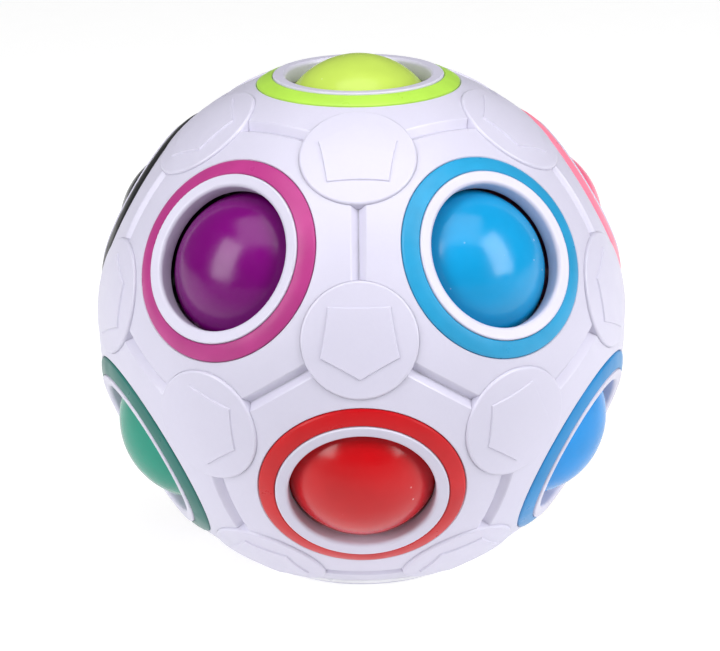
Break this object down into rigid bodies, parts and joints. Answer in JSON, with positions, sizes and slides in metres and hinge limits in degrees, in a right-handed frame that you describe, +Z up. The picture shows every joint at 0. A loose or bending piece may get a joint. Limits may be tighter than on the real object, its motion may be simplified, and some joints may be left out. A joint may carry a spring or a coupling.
{
  "type": "puzzle ball",
  "caption": "Hollow round puzzle ball with ringed windows and captive coloured balls that press in and roll over to an empty window.",
  "frame": {"origin": "on the flat rim of the empty bottom window, under the middle of the shell", "axes": "+Z up through the top window, -Y is the front, towards the red window"},
  "size_m": [0.0696, 0.0708, 0.0693],
  "materials": {
    "white_shell": "satin",
    "ring_lime": "gloss",
    "ring_pearl": "gloss",
    "ring_sky_blue": "gloss",
    "ring_red": "gloss",
    "ring_pink": "gloss",
    "ring_royal_blue": "gloss",
    "ring_orange": "gloss",
    "ring_yellow": "gloss",
    "ring_black": "gloss",
    "ring_brown": "gloss",
    "ring_purple": "gloss",
    "ring_green": "gloss",
    "ball_lime": "gloss",
    "ball_sky_blue": "gloss",
    "ball_red": "gloss",
    "ball_pink": "gloss",
    "ball_royal_blue": "gloss",
    "ball_orange": "gloss",
    "ball_yellow": "gloss",
    "ball_black": "gloss",
    "ball_brown": "gloss",
    "ball_purple": "gloss",
    "ball_green": "gloss",
    "core_rubber": "matte"
  },
  "bodies": {
    "shell": {"panel_top": "white_shell", "panel_bottom": "white_shell", "panel_upper_0": "white_shell", "panel_lower_0": "white_shell", "panel_upper_1": "white_shell", "panel_lower_1": "white_shell", "panel_upper_2": "white_shell", "panel_lower_2": "white_shell", "panel_upper_3": "white_shell", "panel_lower_3": "white_shell", "panel_upper_4": "white_shell", "panel_lower_4": "white_shell", "ring_top": "ring_lime", "ring_bottom": "ring_pearl", "ring_upper_0": "ring_sky_blue", "ring_lower_0": "ring_red", "ring_upper_1": "ring_pink", "ring_lower_1": "ring_royal_blue", "ring_upper_2": "ring_orange", "ring_lower_2": "ring_yellow", "ring_upper_3": "ring_black", "ring_lower_3": "ring_brown", "ring_upper_4": "ring_purple", "ring_lower_4": "ring_green", "cap_00": "white_shell", "cap_01": "white_shell", "cap_02": "white_shell", "cap_03": "white_shell", "cap_04": "white_shell", "cap_05": "white_shell", "cap_06": "white_shell", "cap_07": "white_shell", "cap_08": "white_shell", "cap_09": "white_shell", "cap_10": "white_shell", "cap_11": "white_shell", "cap_12": "white_shell", "cap_13": "white_shell", "cap_14": "white_shell", "cap_15": "white_shell", "cap_16": "white_shell", "cap_17": "white_shell", "cap_18": "white_shell", "cap_19": "white_shell"},
    "ball_top": {"ball_top": "ball_lime"},
    "ball_upper_0": {"ball_upper_0": "ball_sky_blue"},
    "ball_lower_0": {"ball_lower_0": "ball_red"},
    "ball_upper_1": {"ball_upper_1": "ball_pink"},
    "ball_lower_1": {"ball_lower_1": "ball_royal_blue"},
    "ball_upper_2": {"ball_upper_2": "ball_orange"},
    "ball_lower_2": {"ball_lower_2": "ball_yellow"},
    "ball_upper_3": {"ball_upper_3": "ball_black"},
    "ball_lower_3": {"ball_lower_3": "ball_brown"},
    "ball_upper_4": {"ball_upper_4": "ball_purple"},
    "ball_lower_4": {"ball_lower_4": "ball_green"},
    "core": {"core": "core_rubber"}
  },
  "joints": [
    {"name": "press_top", "type": "slide", "parent": "shell", "child": "ball_top", "axis": [0, 0, -1], "range_m": [-0.0006, 0.003], "stiffness_N_per_m": 400, "deforming": ["core"]},
    {"name": "press_upper_0", "type": "slide", "parent": "shell", "child": "ball_upper_0", "axis": [-0.5257, 0.7236, -0.4472], "range_m": [-0.0006, 0.003], "stiffness_N_per_m": 400, "deforming": ["core"]},
    {"name": "roll_lower_0_to_bottom", "type": "hinge", "parent": "shell", "child": "ball_lower_0", "pos_m": [0, -0.02386, -0.00516], "axis": [-1, 0, 0], "range_deg": [0, 60], "deforming": ["core"]},
    {"name": "press_upper_1", "type": "slide", "parent": "shell", "child": "ball_upper_1", "axis": [-0.8507, -0.2764, -0.4472], "range_m": [-0.0006, 0.003], "stiffness_N_per_m": 400, "deforming": ["core"]},
    {"name": "press_lower_1", "type": "slide", "parent": "shell", "child": "ball_lower_1", "axis": [-0.8507, 0.2764, 0.4472], "range_m": [-0.0006, 0.003], "stiffness_N_per_m": 400, "deforming": ["core"]},
    {"name": "press_upper_2", "type": "slide", "parent": "shell", "child": "ball_upper_2", "axis": [0, -0.8944, -0.4472], "range_m": [-0.0006, 0.003], "stiffness_N_per_m": 400, "deforming": ["core"]},
    {"name": "press_lower_2", "type": "slide", "parent": "shell", "child": "ball_lower_2", "axis": [-0.5257, -0.7236, 0.4472], "range_m": [-0.0006, 0.003], "stiffness_N_per_m": 400, "deforming": ["core"]},
    {"name": "press_upper_3", "type": "slide", "parent": "shell", "child": "ball_upper_3", "axis": [0.8507, -0.2764, -0.4472], "range_m": [-0.0006, 0.003], "stiffness_N_per_m": 400, "deforming": ["core"]},
    {"name": "press_lower_3", "type": "slide", "parent": "shell", "child": "ball_lower_3", "axis": [0.5257, -0.7236, 0.4472], "range_m": [-0.0006, 0.003], "stiffness_N_per_m": 400, "deforming": ["core"]},
    {"name": "press_upper_4", "type": "slide", "parent": "shell", "child": "ball_upper_4", "axis": [0.5257, 0.7236, -0.4472], "range_m": [-0.0006, 0.003], "stiffness_N_per_m": 400, "deforming": ["core"]},
    {"name": "press_lower_4", "type": "slide", "parent": "shell", "child": "ball_lower_4", "axis": [0.8507, 0.2764, 0.4472], "range_m": [-0.0006, 0.003], "stiffness_N_per_m": 400, "deforming": ["core"]},
    {"name": "core_turn", "type": "hinge", "parent": "shell", "child": "core", "pos_m": [0, 0, 0.03345], "axis": [0, 0, 1], "continuous": true}
  ]
}
